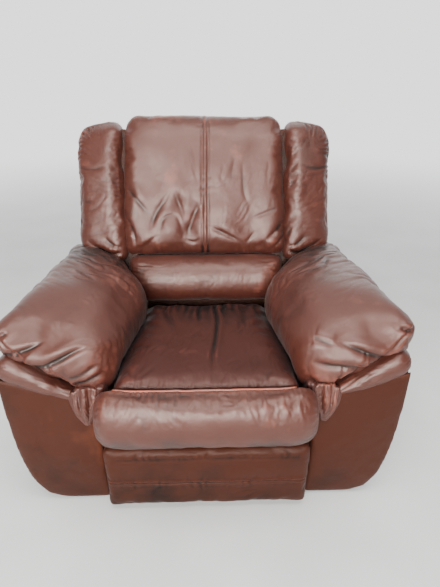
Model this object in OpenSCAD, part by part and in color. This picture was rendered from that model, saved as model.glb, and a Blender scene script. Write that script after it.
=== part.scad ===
// Manual recliner armchair. Millimetres. X is to the sitter's left, -Y is the front, Z is up.
// The origin is on the floor, under the middle of the chair's bounding box.

/* [Overall] */
// Width across the arm pads at the front
width = 1085; // [1075:1:1095]
// Depth from the seat's front roll to the top of the outer back
depth = 960; // [956:1:964]

/* [Arms] */
// Half distance between the arms' inner boards
arm_inner_x = 292; // [291:1:294]
// Distance of the arm fronts in front of the middle
arm_front = 370; // [366:1:372]
// Distance of the arm rears behind the middle
arm_rear = 280; // [274:1:282]
// Height of the boards that the arm pads rest on
arm_board_z = 400; // [396:1:402]
// Height of the arm pads' crest
arm_top_z = 598; // [592:1:600]
// Angle by which the arms' outer sides open towards the front
splay = 4; // [3.5:0.5:4.5]

/* [Seat] */
// Height of the seat cushion
seat_top_z = 430; // [424:1:432]
// Width of the front roll
roll_w = 570; // [560:2:572]
// Thickness of the wooden rails of the seat frame
rail_t = 24.5; // [22:0.5:24.5]

/* [Back] */
// Recline of the back from the vertical at rest
back_tilt = 18; // [18:1:18]
// Height of the recline pivot
pivot_z = 300; // [300:1:300]
// Distance of the recline pivot behind the middle
pivot_y = 165; // [165:1:165]
// Width of the centre pad of the back
pad_w = 550; // [540:2:552]
// Width of the whole back with its wings
back_w = 875; // [860:5:880]

/* [Footrest linkage] */
// Length of the main and companion links, pivot to pivot
link_len = 245; // [243:1:245]
// Direction of the links when folded, from the forward direction
link_fold = -110; // [-111:1:-109]
// Distance between the main and companion links' pivots
link_gap = 35; // [34:0.5:36]
// Distance of the control rod's pivots from the coupler's
control_gap = 45; // [44:0.5:46]

/* [Steel] */
// Thickness of the mechanism's plates
plate_t = 4; // [3.5:0.5:4]
// Radius of the rivets' shafts
rivet_r = 4; // [3.5:0.5:4]
// Radial running clearance of a rivet in a turning plate
run = 0.05; // [0.02:0.01:0.08]

/* [Hidden] */
$fn = 48;
half_w = width / 2;
front_y = -depth / 2;
slack = 1;                        // air between two layers of plates
layer_a = arm_inner_x - 31.5;     // seat side plates
layer_b = layer_a + plate_t + slack;   // links and footrest brackets
layer_c = layer_b + plate_t + slack;   // couplers and control rods
head_t = 2;                       // thickness of a rivet's head
head_gap = 0.3;                   // air under a rivet's head on a turning plate

// Linkage pivots in the Y-Z plane, footrest folded
function dir(a) = [-cos(a), sin(a)];
seat_pivot = [-270, 278.7];
companion_pivot = seat_pivot + link_gap * dir(25);
knee = seat_pivot + link_len * dir(link_fold);
companion_knee = knee + link_gap * dir(25);
rest_pivot = [-343, 185];
control_offset = -control_gap * dir(link_fold);
control_low = knee + control_offset;
control_high = rest_pivot + control_offset;
drive_centre = seat_pivot + 60 * dir(link_fold);
brace_centre = companion_knee + 0.62 * (rest_pivot - companion_knee);
drive_r = 9;
brace_r = 8;

// Outline of an arm seen from the front
arm_foot_x = 470;                 // outer edge at the floor
panel_z0 = 6;                     // lowest edge of the leather panels
panel_z1 = 420;                   // top of the outer panels
panel_t = 10;                     // thickness of a padded leather panel
function side_x(z) = half_w - (half_w - arm_foot_x) * pow(max(0, 1 - z / 400), 2.7);
side_curve = [for (i = [0:12]) let (z = panel_z0 + (panel_z1 - panel_z0) * i / 12) [side_x(z), z]];

leather = [0.43, 0.24, 0.2];
leather_dark = [0.34, 0.19, 0.15];
wood = [0.76, 0.62, 0.43];
steel = [0.55, 0.56, 0.58];
black = [0.12, 0.12, 0.12];

// ---- helpers ----

// Draws a Y-Z outline as a plate of thickness t whose inner face is at x
module plate(x, t) { translate([x, 0, 0]) rotate([90, 0, 90]) linear_extrude(t) children(); }

// Right side as drawn, or its mirror image for the left (side is 1 or -1)
module on_side(side) { if (side > 0) children(); else mirror([1, 0, 0]) children(); }

// Both sides
module both() { for (s = [-1, 1]) on_side(s) children(); }

// Flat bar through a list of points, with a round boss of diameter w at each
waist = 0.8;                      // width of a bar between its bosses, as a part of w
module bar(pts, w) {
    for (p = pts) translate(p) circle(d = w);
    for (i = [1:len(pts) - 1]) {
        span = pts[i] - pts[i - 1];
        translate(pts[i - 1]) rotate(atan2(span.y, span.x)) translate([0, -waist * w / 2])
            square([norm(span), waist * w]);
    }
}

module hole(p, r) { translate(p) circle(r); }

// Straight box between two corners
module block(a, b) { translate(a) cube(b - a); }

// Cylinder along X at a Y-Z point
module rod(p, r, x0, x1) { translate([x0, p.x, p.y]) rotate([0, 90, 0]) cylinder(r = r, h = x1 - x0); }

// Rivet whose head is on the outside
module rivet(p, x0, x1) {
    rod(p, rivet_r, x0, x1 + head_gap);
    rod(p, 2 * rivet_r, x1 + head_gap, x1 + head_gap + head_t);
}

// Rivet whose head is on the inside
module inner_rivet(p, x0, x1) {
    rod(p, rivet_r, x0 - head_gap, x1);
    rod(p, 2 * rivet_r, x0 - head_gap - head_t, x0 - head_gap);
}

// The frame of the back: y runs backwards through it and z runs up along it
module in_back() { translate([0, pivot_y, pivot_z]) rotate([-back_tilt, 0, 0]) children(); }

// Soft block: the hull of balls of radius r at the corners
module soft(corners, r) { hull() for (c = corners) translate(c) sphere(r, $fn = 28); }

// The outer side of the right arm opens towards the front
module splayed() {
    translate([half_w, -arm_front, 0]) rotate(splay) translate([-half_w, arm_front, 0]) children();
}

// ---- base and arms ----

module glides() {
    color(black) both() for (x = [325, 385], y = [-330, 235])
        translate([x, y, 0]) cylinder(r = 16, h = 10);
}

module arm_bottom_rails() {
    color(wood) both() for (x = [305, 365]) block([x, -355, 10], [x + 40, 268, 34]);
}

module base_rail_mid() { color(wood) block([-arm_inner_x, -110, 34], [arm_inner_x, -86, 94]); }

module base_rail_rear() { color(wood) block([-arm_inner_x, 236, 34], [arm_inner_x, 260, 104]); }

module arm_inner_board(side) {
    color(leather_dark) on_side(side) block([arm_inner_x, -355, 12], [arm_inner_x + 12, 268, arm_board_z - 15]);
}

module arm_posts() {
    color(wood) both() for (y = [-350, 230])
        block([arm_inner_x + 15, y, 34.5], [arm_inner_x + 55, y + 35, y < 0 ? 330 : arm_board_z - 15]);
}

module arm_top_boards() {
    color(wood) both() block([arm_inner_x, -295, arm_board_z - 15], [450, 262, arm_board_z]);
}

// Curved board and leather of an arm's outer side
module outer_shell(y0, y1) {
    outline = concat(side_curve, [for (i = [12:-1:0]) side_curve[i] - [panel_t, 0]]);
    translate([0, y1, 0]) rotate([90, 0, 0]) linear_extrude(y1 - y0) polygon(outline);
}

bezel_y = 40;                     // middle of the handle's recess
bezel_z = 300;
cup_w = 100;
cup_h = 60;
cup_deep = 24;
bezel_x = half_w - panel_t;

module cup_cut(grow) {
    block([bezel_x - cup_deep - 20, bezel_y - cup_w / 2 - grow, bezel_z - cup_h / 2 - grow],
        [half_w + 20, bezel_y + cup_w / 2 + grow, bezel_z + cup_h / 2 + grow]);
}

module arm_outer_panel(side) {
    color(leather) on_side(side) intersection() {
        splayed() difference() {
            outer_shell(-arm_front, arm_rear);
            if (side < 0) cup_cut(3.2);
        }
        block([0, -arm_front + 12.3, 0], [half_w + 50, arm_rear - 11.3, panel_z1 + 10]);
    }
}

// Front and rear panels of an arm: a sloping top edge and the curved outer side
module end_panel(y0, t, shift, top_in, top_out) {
    outline = concat([[arm_inner_x + 12.5, panel_z0], [arm_inner_x + 12.5, top_in]],
        [[half_w - shift - 0.2, top_out]],
        [for (i = [12:-1:0]) if (side_curve[i].y < top_out) side_curve[i] - [shift, 0]]);
    translate([0, y0 + t, 0]) rotate([90, 0, 0]) linear_extrude(t) polygon(outline);
}

module arm_front_panel(side) {
    color(leather) on_side(side) end_panel(-arm_front, 12, 0, 338, 415);
}

module arm_rear_panel(side) {
    rear_shift = (arm_front + arm_rear) * tan(splay);
    color(leather) on_side(side) end_panel(arm_rear - 11, 11, rear_shift + 1, 384, 414);
}

// Padded bead under the pad: along the front, then along the outer side
module arm_bead(side) {
    corner = [half_w - 35, -arm_front + 26, 459];
    color(leather) on_side(side) {
        hull() {
            translate(corner) sphere(35, $fn = 28);
            translate([350, -arm_front + 20, 386]) sphere(24, $fn = 28);
        }
        hull() {
            translate(corner) sphere(35, $fn = 28);
            translate([466, 222, 442]) sphere(32, $fn = 28);
        }
    }
}

pad_r = 44;                       // roundness of an arm pad

module arm_pad(side) {
    r = pad_r;
    low = arm_board_z + 3 + r;
    high = arm_top_z - r;
    front = -arm_front + r - 2;
    rear = arm_rear - r;
    color(leather) on_side(side) soft([
        [254 + r, front, low], [half_w - r, front, 520 + r],
        [266 + r, front, high - 14], [half_w - r - 30, front, high - 14],
        [212 + r, -40, low], [226 + r, -40, high], [514 - r, -10, 520 + r], [480 - r, -10, high],
        [302 + r, rear, low], [498 - r, rear, 498 + r], [306 + r, rear, 548 - r]], r);
}

channel_z = 140;                  // middle of the slide

module slide_channels() {
    color(steel) both() difference() {
        block([arm_inner_x - 16, -150, channel_z - 18], [arm_inner_x, 130, channel_z + 18]);
        block([arm_inner_x - 17, -151, channel_z - 14], [arm_inner_x - 4, 131, channel_z + 14]);
    }
}

// ---- release handle, on the sitter's right ----

paddle_y = bezel_y - cup_w / 2 + 8;    // hinge line of the paddle
paddle_x = bezel_x - 2;

module handle_bezel() {
    inner = [bezel_x - cup_deep, bezel_y - cup_w / 2, bezel_z - cup_h / 2];
    color(black) on_side(-1) splayed() difference() {
        union() {
            block(inner - [3, 3, 3], [half_w + 0.5, bezel_y + cup_w / 2 + 3, bezel_z + cup_h / 2 + 3]);
            block([half_w + 0.5, bezel_y - cup_w / 2 - 10, bezel_z - cup_h / 2 - 10],
                [half_w + 3.5, bezel_y + cup_w / 2 + 10, bezel_z + cup_h / 2 + 10]);
        }
        block(inner, [half_w + 10, bezel_y + cup_w / 2, bezel_z + cup_h / 2]);
        translate([paddle_x, paddle_y, bezel_z]) cylinder(r = 2.5 + run, h = cup_h + 20, center = true);
    }
}

module release_handle() {
    color(steel) on_side(-1) splayed() {
        translate([paddle_x, paddle_y, bezel_z]) cylinder(r = 2.5, h = cup_h + 4, center = true);
        translate([paddle_x, paddle_y, bezel_z]) cylinder(r = 5, h = cup_h - 4, center = true);
        block([paddle_x - 2, paddle_y, bezel_z - cup_h / 2 + 2], [paddle_x + 3, paddle_y + 46, bezel_z + cup_h / 2 - 2]);
    }
}

// Inner cable of the release, held inside the left arm along its whole length
cable_r = 3;
cable_route = [[-474, 44, 292], [-464, 44, 286], [-440, 40, 262], [-410, 34, 230], [-380, 26, 202],
    [-352, 18, 184], [-330, 10, 172], [-312, 4, 168], [-305, 2, 167]];

function unit(v) = v / norm(v);
function along(p, i) = unit(p[min(i + 1, len(p) - 1)] - p[max(i - 1, 0)]);

// Tube along a list of points, with n sides
module tube(p, r, n) {
    rings = [for (i = [0:len(p) - 1]) let (t = along(p, i), a = unit(cross(t, [0, 1, 0])), b = cross(t, a))
        for (k = [0:n - 1]) p[i] + r * (cos(360 * k / n) * a + sin(360 * k / n) * b)];
    sides = [for (i = [0:len(p) - 2], k = [0:n - 1])
        [i * n + k, i * n + (k + 1) % n, (i + 1) * n + (k + 1) % n, (i + 1) * n + k]];
    ends = [[for (k = [n - 1:-1:0]) k], [for (k = [0:n - 1]) (len(p) - 1) * n + k]];
    polyhedron(rings, concat(sides, ends));
}

module release_cable() { color(black) tube(cable_route, cable_r, 8); }

// ---- seat ----

rail_z0 = 272;
rail_z1 = 335;
rail_x = layer_a - rail_t;

module seat_side_rails() { color(wood) both() block([rail_x, -335, rail_z0], [layer_a, 100, rail_z1]); }

module seat_front_rail() { color(wood) block([-rail_x, -335, rail_z0], [rail_x, -335 + rail_t, rail_z1]); }

module seat_rear_rail() { color(wood) block([-rail_x, 100 - rail_t, rail_z0], [rail_x, 100, rail_z1]); }

// One flat sinuous spring along Y, made of half rings and straights
module sinuous(x) {
    pitch = 38;
    reach = 26;
    wire = 4;
    turns = 10;
    translate([x, -320, rail_z1]) linear_extrude(wire) for (i = [0:turns - 1]) {
        s = i % 2 == 0 ? 1 : -1;
        translate([s * reach, pitch * (i + 0.5)]) intersection() {
            difference() { circle((pitch + wire) / 2); circle((pitch - wire) / 2); }
            translate([s > 0 ? 0 : -pitch, -pitch]) square([pitch, 2 * pitch]);
        }
        for (k = [0, 1]) translate([s > 0 ? 0 : -reach, pitch * (i + k) - wire / 2]) square([reach, wire]);
    }
}

module seat_springs() { color(steel) for (x = [-165, -82.5, 0, 82.5, 165]) sinuous(x); }

module seat_cushion() {
    r = 16;
    z0 = rail_z1 + 5 + r;
    z1 = seat_top_z - r;
    color(leather) soft([for (s = [-1, 1]) each [[s * (252 - r), -388 + r, z0], [s * (252 - r), 70 - r, z0],
        [s * (236 - r), -388 + r, z1], [s * (188 - r), 70 - r, z1 - 12]]], r);
}

// Front roll: a D-shaped bolster with rounded ends
module seat_front_roll() {
    color(leather) hull() for (s = [-1, 1], e = [[roll_w / 2 - 45, 1], [roll_w / 2 - 18, 0.92], [roll_w / 2, 0.68]])
        translate([s * e[0], -389, 349]) rotate([90, 0, 90]) linear_extrude(0.5, center = true) scale(e[1])
            intersection() { circle(depth / 2 - 389, $fn = 40); translate([-100, -79]) square([99.5, 160]); }
}

module seat_plate(side) {
    color(steel) on_side(side) plate(layer_a, plate_t) difference() {
        union() {
            translate([-305, 285]) square([470, 40]);
            hole(seat_pivot, 14);
            hole(companion_pivot, 14);
            hole([pivot_y, pivot_z], 20);
            translate([-80, channel_z - 15]) square([170, 160]);
        }
        hole(seat_pivot, rivet_r);
        hole(companion_pivot, rivet_r);
        hole([pivot_y, pivot_z], 5);
    }
}

module slide_bars() {
    color(black) both() block([layer_a + plate_t, -80, channel_z - 13.5], [arm_inner_x - 5, 90, channel_z + 13.5]);
}

module seat_rivets() {
    color(steel) both() for (p = [seat_pivot, companion_pivot]) rivet(p, layer_a, layer_b + plate_t);
}

bracket_x = layer_a - slack - plate_t;

module recline_bolts() {
    p = [pivot_y, pivot_z];
    color(steel) both() {
        rod(p, 5, bracket_x - head_gap, layer_a + plate_t);
        rod(p, 9, layer_a + plate_t, layer_a + 2 * plate_t);
        rod(p, 9, bracket_x - head_gap - 6, bracket_x - head_gap);
    }
}

// Close-wound extension springs that help to open the footrest
module footrest_springs() {
    coil = 9;
    wire = 2.5;
    turns = 22;
    color(steel) both() translate([224, -104, 212]) rotate([90, 0, 0]) rotate_extrude() union() {
        for (i = [0:turns - 1]) translate([coil, wire + i * 2 * wire * 0.96]) circle(wire, $fn = 20);
    }
}

// ---- back, drawn in its own tilted frame ----

post_x = bracket_x;

module back_posts() { color(wood) in_back() both() block([post_x - 30, 27.5, 30], [post_x, 45, 660]); }

module back_top_rail() { color(wood) in_back() block([-415, 10, 610], [415, 27.5, 660]); }

module back_lower_rail() { color(wood) in_back() block([-415, 10, 300], [415, 27.5, 345]); }

module back_webbing() {
    color(black) in_back() for (z = [140, 215, 400, 475, 550]) block([-post_x, 24, z], [post_x, 27.5, z + 50]);
}

module back_brackets() {
    color(steel) both() translate([0, pivot_y, pivot_z]) rotate([-back_tilt, 0, 0])
        plate(bracket_x, plate_t) difference() {
            bar([[0, 0], [27, 150]], 36);
            hole([0, 0], 5 + run);
        }
}

module back_pad() {
    r = 34;
    x = pad_w / 2 - r;
    color(leather) in_back() soft([for (s = [-1, 1]) each [[s * x, -121 + r, 264 + r], [s * x, 8 - r, 264 + r],
        [s * (x - 6), -112 + r, 676 - r], [s * (x - 14), -54, 734 - r], [s * (x - 10), 8 - r, 700 - r],
        [s * x, -125 + r, 420]]], r);
}

module back_wing(side) {
    r = 30;
    x0 = pad_w / 2 + 4 + r;
    x1 = back_w / 2 - r;
    color(leather) on_side(side) in_back() soft([[x0, -118 + r, 298 + r], [x1, -100 + r, 298 + r],
        [x0, 6 - r, 298 + r], [x1, 6 - r, 298 + r], [x0, -124 + r, 480], [x0, -112 + r, 690 - r],
        [x0, -50, 714 - r], [x0, 6 - r, 696 - r], [x1, -90 + r, 660 - r], [x1 - 14, -50, 700 - r],
        [x1, 6 - r, 670 - r]], r);
}

module lumbar_roll() {
    r = 74;
    color(leather) in_back() hull() for (s = [-1, 1]) {
        translate([s * 176, -88, 175]) scale([0.75, 1, 1]) sphere(r, $fn = 32);
        translate([s * 176, -52, 175]) scale([0.75, 0.75, 1]) sphere(r, $fn = 32);
    }
}

module outer_back_upper() {
    r = 20;
    top_z = 670;                  // height of the upper rear edge along the back
    rear = (depth / 2 - r - pivot_y - top_z * sin(back_tilt)) / cos(back_tilt);
    color(leather) in_back() soft([for (s = [-1, 1]) each [[s * (back_w / 2 - 4 - r), 46 + r, 292 + r],
        [s * (back_w / 2 - 10 - r), 46 + r, 690 - r], [s * (back_w / 2 - 14 - r), 88 - r, 292 + r],
        [s * (back_w / 2 - 40 - r), rear, top_z]]], r);
}

module outer_back_lower() {
    color(leather) in_back() block([-272, 47, -126], [272, 62, 290]);
}

// ---- footrest linkage ----

module main_link(side) {
    color(steel) on_side(side) plate(layer_b, plate_t) difference() {
        bar([seat_pivot, knee], 18);
        hole(seat_pivot, rivet_r + run);
        hole(knee, rivet_r);
        hole(control_low, rivet_r);
    }
}

module drive_tube() {
    color(steel) difference() {
        rod(drive_centre, drive_r, -layer_b, layer_b);
        rod(drive_centre, drive_r - 2, -layer_b - 1, layer_b + 1);
    }
}

module link_rivets() {
    color(steel) both() for (p = [knee, control_low]) rivet(p, layer_b, layer_c + plate_t);
}

module companion_links() {
    color(steel) both() plate(layer_b, plate_t) difference() {
        bar([companion_pivot, companion_knee], 18);
        hole(companion_pivot, rivet_r + run);
        hole(companion_knee, rivet_r + run);
    }
}

module coupler(side) {
    color(steel) on_side(side) plate(layer_c, plate_t) difference() {
        bar([knee, companion_knee, rest_pivot], 20);
        hole(knee, rivet_r + run);
        hole(companion_knee, rivet_r);
        hole(rest_pivot, rivet_r);
    }
}

module coupler_brace() {
    color(steel) difference() {
        rod(brace_centre, brace_r, -layer_c, layer_c);
        rod(brace_centre, brace_r - 2, -layer_c - 1, layer_c + 1);
    }
}

module coupler_rivets() {
    color(steel) both() for (p = [companion_knee, rest_pivot]) inner_rivet(p, layer_b, layer_c + plate_t);
}

module control_rods() {
    color(steel) both() plate(layer_c, plate_t) difference() {
        bar([control_low, control_high], 14);
        hole(control_low, rivet_r + run);
        hole(control_high, rivet_r + run);
    }
}

board_y = -390;                   // front of the footrest board
board_t = 15;

module footrest_brackets() {
    color(steel) both() {
        plate(layer_b, plate_t) difference() {
            union() {
                bar([rest_pivot, control_high], 18);
                translate([board_y, 160]) square([rest_pivot.x - board_y, 50]);
            }
            hole(rest_pivot, rivet_r + run);
            hole(control_high, rivet_r);
        }
        block([225, board_y + board_t, 165], [layer_b, board_y + board_t + 4, 205]);
    }
}

module footrest_board() {
    color(wood) block([-layer_b, board_y, 26], [layer_b, board_y + board_t, 226]);
}

module footrest_pad() {
    r = 11;
    x = roll_w / 2 - 2.5 - r;
    color(leather) soft([for (s = [-1, 1], z = [22 + r, 232 - r], y = [board_y - r - 0.5, board_y - 28 + r])
        [s * x, y, z]], r);
}

module footrest_rivets() { color(steel) both() rivet(control_high, layer_b, layer_c + plate_t); }

// ---- nodes ----

glides();
base_rail_mid();
base_rail_rear();
arm_bottom_rails();
arm_posts();
arm_inner_board(-1);  // arm_inner_board_left
arm_inner_board(1);  // arm_inner_board_right
arm_top_boards();
arm_outer_panel(-1);  // arm_outer_panel_left
arm_outer_panel(1);  // arm_outer_panel_right
arm_front_panel(-1);  // arm_front_panel_left
arm_front_panel(1);  // arm_front_panel_right
arm_rear_panel(-1);  // arm_rear_panel_left
arm_rear_panel(1);  // arm_rear_panel_right
arm_bead(-1);  // arm_bead_left
arm_bead(1);  // arm_bead_right
arm_pad(-1);  // arm_pad_left
arm_pad(1);  // arm_pad_right
slide_channels();
handle_bezel();
release_cable();
release_handle();
seat_side_rails();
seat_front_rail();
seat_rear_rail();
seat_springs();
seat_cushion();
seat_front_roll();
seat_plate(-1);  // seat_plate_left
seat_plate(1);  // seat_plate_right
slide_bars();
seat_rivets();
recline_bolts();
footrest_springs();
back_posts();
back_top_rail();
back_lower_rail();
back_webbing();
back_brackets();
back_pad();
back_wing(-1);  // back_wing_left
back_wing(1);  // back_wing_right
lumbar_roll();
outer_back_upper();
outer_back_lower();
main_link(-1);  // main_link_left
main_link(1);  // main_link_right
drive_tube();
link_rivets();
companion_links();
coupler(-1);  // coupler_left
coupler(1);  // coupler_right
coupler_brace();
coupler_rivets();
control_rods();
footrest_brackets();
footrest_board();
footrest_pad();
footrest_rivets();
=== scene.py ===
import math

import bpy
import numpy as np
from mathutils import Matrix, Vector
from mathutils.bvhtree import BVHTree


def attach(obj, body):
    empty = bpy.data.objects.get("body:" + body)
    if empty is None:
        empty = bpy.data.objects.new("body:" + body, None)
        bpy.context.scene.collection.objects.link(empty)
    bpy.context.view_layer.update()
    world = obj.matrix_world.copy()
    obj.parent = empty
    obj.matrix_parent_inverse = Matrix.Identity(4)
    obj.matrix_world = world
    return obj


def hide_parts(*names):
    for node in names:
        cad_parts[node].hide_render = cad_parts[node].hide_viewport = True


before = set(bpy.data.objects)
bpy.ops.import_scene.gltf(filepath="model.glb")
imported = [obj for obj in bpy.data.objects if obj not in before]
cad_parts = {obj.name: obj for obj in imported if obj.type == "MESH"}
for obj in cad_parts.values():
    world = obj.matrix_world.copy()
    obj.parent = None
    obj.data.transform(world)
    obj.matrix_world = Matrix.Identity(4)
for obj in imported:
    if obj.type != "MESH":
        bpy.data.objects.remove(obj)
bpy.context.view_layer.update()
scene = bpy.context.scene

# The back's own frame: the recline bolts, and how far the back leans at rest
PIVOT = np.array([0.0, 0.165, 0.3])
TILT = math.radians(18)
MM = 1000  # millimetres in a metre: shapes below are worked out in millimetres

# ---------------------------------------------------------------- numbers in space

rng = np.random.default_rng(11)
PERM = rng.permutation(256)
GRAD = rng.normal(size=(256, 3))
GRAD /= np.linalg.norm(GRAD, axis=1)[:, None]


def noise(p):
    """Smooth noise at N points, about -1 to 1."""
    cell = np.floor(p).astype(int)
    f = p - cell
    u = f * f * f * (f * (f * 6 - 15) + 10)
    total = np.zeros(len(p))
    for dx in (0, 1):
        for dy in (0, 1):
            for dz in (0, 1):
                h = PERM[(cell[:, 0] + dx) & 255]
                h = PERM[(h + cell[:, 1] + dy) & 255]
                h = PERM[(h + cell[:, 2] + dz) & 255]
                g = (GRAD[h] * (f - np.array([dx, dy, dz]))).sum(1)
                w = np.abs(1 - dx - u[:, 0]) * np.abs(1 - dy - u[:, 1]) * np.abs(1 - dz - u[:, 2])
                total += g * w
    return total * 1.8


def ridges(p):
    """Sharp valleys between round swellings, 0 at a valley and 1 on a swelling."""
    return np.minimum(1, np.abs(noise(p)) * 2.2)


def step(a, b, x):
    """0 below a, 1 above b, smooth between."""
    t = np.clip((x - a) / (b - a), 0, 1)
    return t * t * (3 - 2 * t)


def unit(v):
    v = np.asarray(v, float)
    return v / np.linalg.norm(v)


def bell(x, centre, width):
    """1 at the centre, dying out over the width on both sides."""
    return np.exp(-(((x - centre) / width) ** 2))


def in_back(p):
    """World metres to the back's own frame in millimetres: x, y rearwards, z up along it."""
    q = (np.asarray(p, float) - PIVOT) * MM
    c, s = math.cos(TILT), math.sin(TILT)
    return np.stack([q[..., 0], q[..., 1] * c - q[..., 2] * s, q[..., 1] * s + q[..., 2] * c], -1)


def from_back(p):
    """The back's own millimetres to world millimetres."""
    p = np.asarray(p, float)
    c, s = math.cos(TILT), math.sin(TILT)
    return np.stack([p[..., 0], p[..., 1] * c + p[..., 2] * s, -p[..., 1] * s + p[..., 2] * c], -1) + PIVOT * MM


def back_way(*way):
    """A direction in the back's own frame, turned to the world's."""
    return from_back(way) - from_back([0, 0, 0])


BACK_FRONT = -back_way(0, -1, 0)  # looking at the back's front, square on
BACK_REAR = back_way(0, -1, 0)
BACK_UP = back_way(0, 0, 1)


# ---------------------------------------------------------------- meshes


def vectors(items, name):
    a = np.empty(len(items) * 3, np.float32)
    items.foreach_get(name, a)
    return a.reshape(-1, 3).astype(float)


def coords(ob):
    return vectors(ob.data.vertices, "co")


def set_coords(ob, p):
    ob.data.vertices.foreach_set("co", np.ascontiguousarray(p, np.float32).ravel())
    ob.data.update()


def normals(ob):
    return vectors(ob.data.vertex_normals, "vector")


def new_object(name, mesh):
    ob = bpy.data.objects.new(name, mesh)
    scene.collection.objects.link(ob)
    return ob


def new_mesh(name, verts, faces):
    me = bpy.data.meshes.new(name)
    me.from_pydata([tuple(v) for v in verts], [], [tuple(f) for f in faces])
    me.update()
    return new_object(name, me)


def bake_modifiers(ob):
    graph = bpy.context.evaluated_depsgraph_get()
    me = bpy.data.meshes.new_from_object(ob.evaluated_get(graph))
    ob.modifiers.clear()
    ob.data = me
    return ob


def remesh(ob, voxel):
    m = ob.modifiers.new("remesh", "REMESH")
    m.mode = "VOXEL"
    m.voxel_size = voxel
    return bake_modifiers(ob)


def subdivide(ob):
    m = ob.modifiers.new("subdivide", "SUBSURF")
    m.levels = m.render_levels = 1
    return bake_modifiers(ob)


def edge_pairs(ob):
    e = np.empty(len(ob.data.edges) * 2, np.int32)
    ob.data.edges.foreach_get("vertices", e)
    return e.reshape(-1, 2)


def neighbour_mean(values, pairs):
    total = np.zeros_like(values)
    count = np.zeros(len(values))
    for a, b in ((0, 1), (1, 0)):
        for k in range(values.shape[1]):
            total[:, k] += np.bincount(pairs[:, a], values[pairs[:, b], k], len(values))
        count += np.bincount(pairs[:, a], minlength=len(values))
    return total / np.maximum(count, 1)[:, None]


def smooth(ob, rounds):
    """Laplacian smoothing."""
    p, pairs = coords(ob), edge_pairs(ob)
    for _ in range(rounds):
        p = p + 0.6 * (neighbour_mean(p, pairs) - p)
    set_coords(ob, p)
    return ob


def from_cad(node, inset, voxel, rounds, name=None):
    """A copy of a CAD solid, smaller by inset on every side, as an even mesh with soft edges."""
    ob = new_object(name or node + "_soft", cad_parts[node].data.copy())
    ob.data.materials.clear()
    p = coords(ob)
    centre, half = (p.max(0) + p.min(0)) / 2, (p.max(0) - p.min(0)) / 2
    set_coords(ob, centre + (p - centre) * (half - inset) / half)
    remesh(ob, voxel)
    return smooth(ob, rounds)


def fill_box(ob, node, low=(0, 0, 0), high=(0, 0, 0), tilted=False):
    """Stretches a piece to its CAD solid's box, plus a few millimetres at each low or high side."""
    own, cad = coords(ob), coords(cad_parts[node])
    if tilted:
        own, cad = in_back(own), in_back(cad)
    else:
        own, cad = own * MM, cad * MM
    a, b = cad.min(0) - np.array(low), cad.max(0) + np.array(high)
    c, d = own.min(0), own.max(0)
    own = a + (own - c) * (b - a) / (d - c)
    set_coords(ob, (from_back(own) if tilted else own) / MM)
    return ob


def puff(ob, pressure=4.0, cap=0.022, grow=0.0, pin=None, frames=20):
    """Swells a closed cushion with Blender's cloth simulation; no point moves further than cap."""
    rest = coords(ob)
    mod = ob.modifiers.new("puff", "CLOTH")
    cloth = mod.settings
    cloth.use_pressure = True
    cloth.uniform_pressure_force = pressure
    cloth.effector_weights.gravity = 0
    cloth.tension_stiffness = cloth.compression_stiffness = 25
    cloth.bending_stiffness = 1.5
    cloth.shrink_min = -grow
    mod.collision_settings.use_collision = False
    if pin is not None:
        pin = np.round(pin, 1)
        group = ob.vertex_groups.new(name="pin")
        for level in np.unique(pin):
            if level > 0:
                group.add([int(i) for i in np.nonzero(pin == level)[0]], float(level), "REPLACE")
        cloth.vertex_group_mass = "pin"
    mod.point_cache.frame_start, mod.point_cache.frame_end = 1, frames
    for f in range(1, frames + 1):
        scene.frame_set(f)
    graph = bpy.context.evaluated_depsgraph_get()
    shift = coords(ob.evaluated_get(graph)) - rest
    ob.modifiers.clear()
    ob.vertex_groups.clear()
    scene.frame_set(1)
    far = np.linalg.norm(shift, axis=1)[:, None] + 1e-9
    set_coords(ob, rest + shift * cap * np.tanh(far / cap) / far)
    return ob


# ---------------------------------------------------------------- sewing and creases


def nearest_on(line, p):
    """For N points: distance to a polyline, place along it from 0 to 1, and the vector from it."""
    line = np.asarray(line, float)
    run = np.concatenate([[0], np.cumsum(np.linalg.norm(np.diff(line, axis=0), axis=1))])
    best = np.full(len(p), 1e9)
    place = np.zeros(len(p))
    off = np.zeros_like(p)
    for a, b, r0, r1 in zip(line[:-1], line[1:], run[:-1], run[1:]):
        ab = b - a
        t = np.clip(((p - a) @ ab) / (ab @ ab), 0, 1)
        d = p - (a + t[:, None] * ab)
        dist = np.linalg.norm(d, axis=1)
        nearer = dist < best
        best[nearer] = dist[nearer]
        place[nearer] = ((r0 + t * (r1 - r0)) / run[-1])[nearer]
        off[nearer] = d[nearer]
    return best, place, off


def spline(points, n=24):
    """A smooth curve through a few points."""
    pts = np.asarray(points, float)
    if len(pts) < 3:
        return np.array([pts[0] + (pts[-1] - pts[0]) * t for t in np.linspace(0, 1, n)])
    ext = np.vstack([2 * pts[0] - pts[1], pts, 2 * pts[-1] - pts[-2]])
    out = []
    for i in range(1, len(ext) - 2):
        a, b, c, d = ext[i - 1 : i + 3]
        for t in np.linspace(0, 1, max(3, n // (len(pts) - 1)), endpoint=False):
            curve = (2 * a - 5 * b + 4 * c - d) * t * t + (3 * b - a - 3 * c + d) * t**3
            out.append(0.5 * (2 * b + (c - a) * t + curve))
    return np.array(out + [pts[-1]])


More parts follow.
